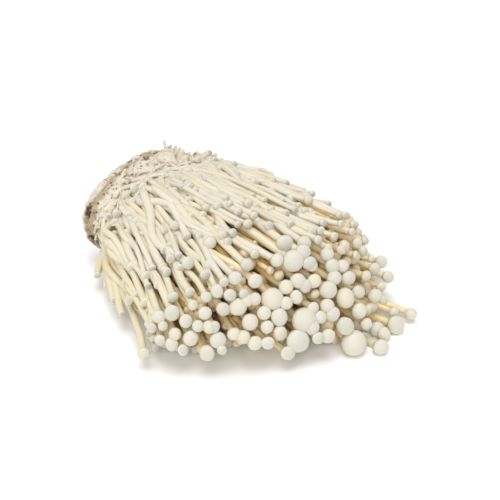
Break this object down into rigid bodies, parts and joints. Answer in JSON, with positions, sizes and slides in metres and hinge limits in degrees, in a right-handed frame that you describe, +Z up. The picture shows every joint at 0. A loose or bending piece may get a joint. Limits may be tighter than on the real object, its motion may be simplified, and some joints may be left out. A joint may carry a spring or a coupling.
{
  "type": "enoki mushroom bunch",
  "caption": "Bunch of slender pale mushrooms fused at the root, lying on its side with its small round caps fanned out, for kitchen and market scenes.",
  "frame": {"origin": "middle of the flat spot on the underside that the bunch rests on, below its weight", "axes": "+X from the root end towards the caps, +Y to the bunch's left seen from the root, +Z up"},
  "size_m": [0.1575, 0.1467, 0.0578],
  "materials": {
    "mushroom_flesh": "matt, slightly translucent cream flesh with paler caps and a warmer root",
    "growing_medium": "rough brown crumbs matted with pale threads"
  },
  "bodies": {
    "root": {"mushroom_bunch": "mushroom_flesh", "growing_medium": "growing_medium"}
  },
  "joints": []
}
